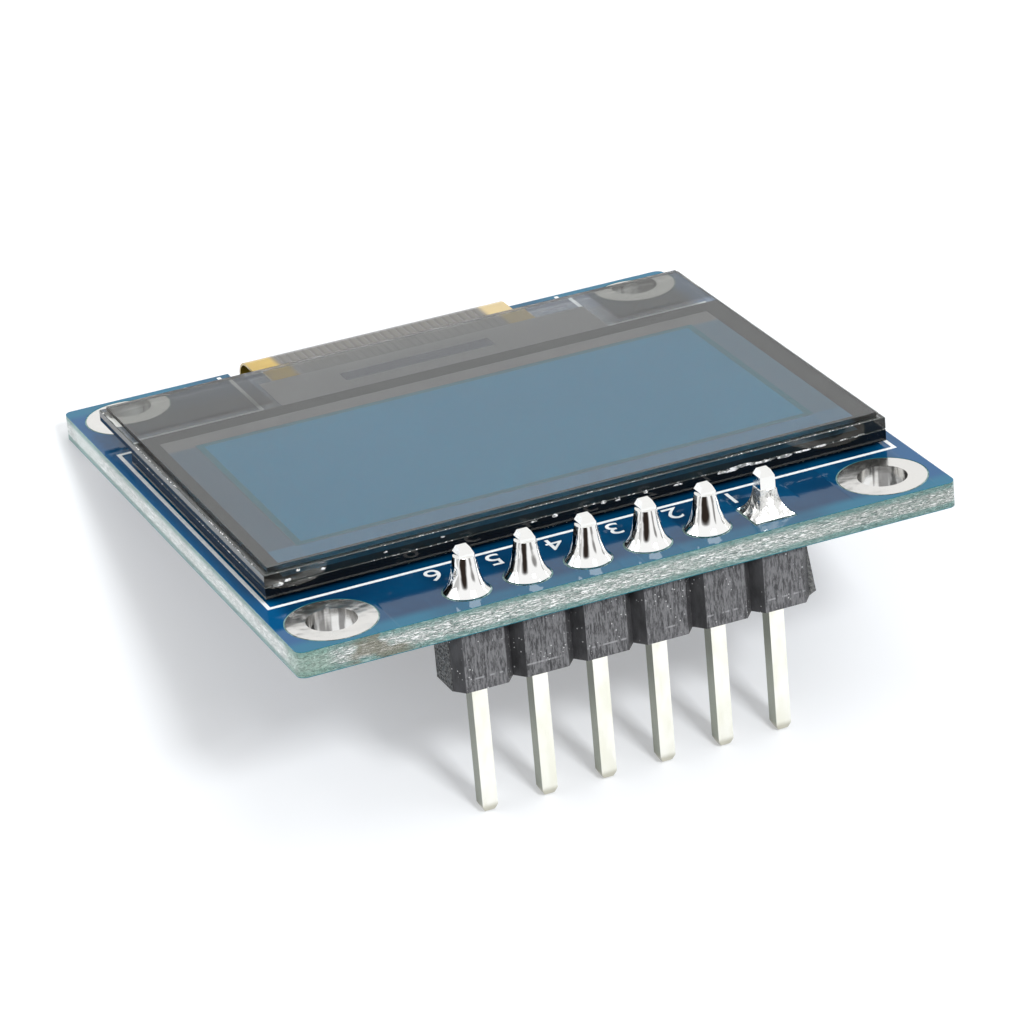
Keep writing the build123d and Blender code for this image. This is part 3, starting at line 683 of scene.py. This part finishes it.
# Floor: a white table. The module stands on its pin tips and on the far edge of its board,
# so the table is tilted in the module's own frame. It fades to plain white away from the
# module, and its underside is clear, so that a view from below still shows the module.
back_low, back_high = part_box("back_solder_mask")
pin_low, pin_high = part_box("header_pin_1")
tilt = math.atan2(back_low.z - pin_low.z, back_high.y - (pin_low.y + pin_high.y) / 2)
floor_width = 3.0
fade_start_mm = 45.0
fade_end_mm = 130.0
bpy.ops.object.select_all(action="DESELECT")
bpy.ops.mesh.primitive_plane_add(
    size=floor_width, rotation=(tilt, 0, 0), location=(0, back_high.y, back_low.z),
)
floor = bpy.context.object
floor.name = "table"
table = Paint("white table", colour=(0.86, 0.885, 0.915), Roughness=0.9, Specular_IOR_Level=0.0)
lit = table.node("Emission", None, {"Color": (1, 1, 1, 1), "Strength": 1.0})
clear = table.node("BsdfTransparent")
rays = table.node("LightPath")
camera_ray = Wire(table, rays.outputs["Is Camera Ray"])
glossy_ray = Wire(table, rays.outputs["Is Glossy Ray"])
through_ray = Wire(table, rays.outputs["Is Transmission Ray"])
bright = camera_ray.larger(glossy_ray.larger(through_ray))
x, y, z = table.axes()
far = (x * x + y * y).ramp(fade_start_mm ** 2, fade_end_mm ** 2)
glow = bright * (far * 0.65 + 0.35)
shown = table.node("MixShader", None, {0: glow, 1: table.shader.outputs[0], 2: lit.outputs[0]})
under = table.node("NewGeometry").outputs["Backfacing"]
both = table.node("MixShader", None, {0: under, 1: shown.outputs[0], 2: clear.outputs[0]})
table.tree.links.new(both.outputs[0], table.tree.nodes["Material Output"].inputs["Surface"])
floor.data.materials.append(table.material)


# Camera: a long lens about 19 cm away, in front and to the left of the pins, and rolled a
# little.
aim = Vector((-0.00196, -0.00565, 0.00108))
camera_azimuth = math.radians(21.331)
camera_elevation = math.radians(24.052)
camera_roll = math.radians(-5.277)
camera_distance = 0.18716
ahead = Vector((
    math.sin(camera_azimuth) * math.cos(camera_elevation),
    math.cos(camera_azimuth) * math.cos(camera_elevation),
    -math.sin(camera_elevation),
))
level_right = ahead.cross(Vector((0, 0, 1))).normalized()
level_up = level_right.cross(ahead)
right = level_right * math.cos(camera_roll) + level_up * math.sin(camera_roll)
up = level_up * math.cos(camera_roll) - level_right * math.sin(camera_roll)
camera_data = bpy.data.cameras.new("camera")
camera_data.lens = 169.08
camera_data.sensor_width = 36.0
camera_data.clip_start = 0.005
camera_data.clip_end = 20.0
camera = bpy.data.objects.new("camera", camera_data)
bpy.context.collection.objects.link(camera)
turn = Matrix((right, up, -ahead)).transposed()
camera.matrix_world = Matrix.Translation(aim - ahead * camera_distance) @ turn.to_4x4()
bpy.context.scene.camera = camera


# Lamps: a soft key from the front and a little from the right, a large one overhead and a
# weaker fill from the left, all pointed at the module.
def soft_lamp(name, where, size, power):
    lamp_data = bpy.data.lights.new(name, "AREA")
    lamp_data.size = size
    lamp_data.energy = power
    lamp = bpy.data.objects.new(name, lamp_data)
    bpy.context.collection.objects.link(lamp)
    lamp.location = where
    lamp.rotation_euler = (-Vector(where)).to_track_quat("-Z", "Y").to_euler()


soft_lamp("key", (0.12, -0.43, 0.36), 0.13, 2.0)
soft_lamp("overhead", (0.18, -0.05, 0.45), 0.35, 0.95)
soft_lamp("fill", (-0.45, 0.10, 0.30), 0.40, 1.3)

# World: a studio of white screens with dark gaps between them: a wide one behind the camera,
# a dim one to the left and three low ones, which the solder and the tin show as dark streaks.
world = bpy.data.worlds.new("studio")
bpy.context.scene.world = world
world.use_nodes = True


class Studio(Paint):
    """The world's node tree, with nodes added and linked in the same way."""

    def __init__(self, world):
        self.tree = world.node_tree
        self.shader = self.tree.nodes["Background"]


studio = Studio(world)
way = studio.node("SeparateXYZ", None, {"Vector": studio.node("TexCoord").outputs["Generated"]})
way_x, way_y, way_z = [Wire(studio, way.outputs[axis]) for axis in "XYZ"]


def gap_between_screens(azimuth, inner, outer):
    """A dark upright gap in the studio's white screens, soft from inner to outer, in degrees."""
    turn = math.radians(azimuth)
    towards = way_x * -math.sin(turn) - way_y * math.cos(turn)
    return towards.ramp(math.cos(math.radians(outer)), math.cos(math.radians(inner)))


rays = studio.node("LightPath")
seen = Wire(studio, rays.outputs["Is Camera Ray"])
mirrored = Wire(studio, rays.outputs["Is Glossy Ray"])
refracted = Wire(studio, rays.outputs["Is Transmission Ray"])
low_gaps = (
    gap_between_screens(-34, 4, 15)
    + gap_between_screens(-88, 4, 14)
    + gap_between_screens(150, 4, 14)
)
low_gaps = low_gaps * abs(way_z).ramp(0.26, 0.12) * 0.75
room = (gap_between_screens(31, 14, 32) + gap_between_screens(96, 18, 37) * 0.45 + low_gaps) * (1.0 - seen)
studio.set(
    Color=studio.blend(room, (1.0, 1.0, 1.0), (0.03, 0.022, 0.018)),
    Strength=seen.larger(mirrored.larger(refracted)) * 0.50 + 0.50,
)

bpy.context.scene.view_settings.view_transform = "Standard"
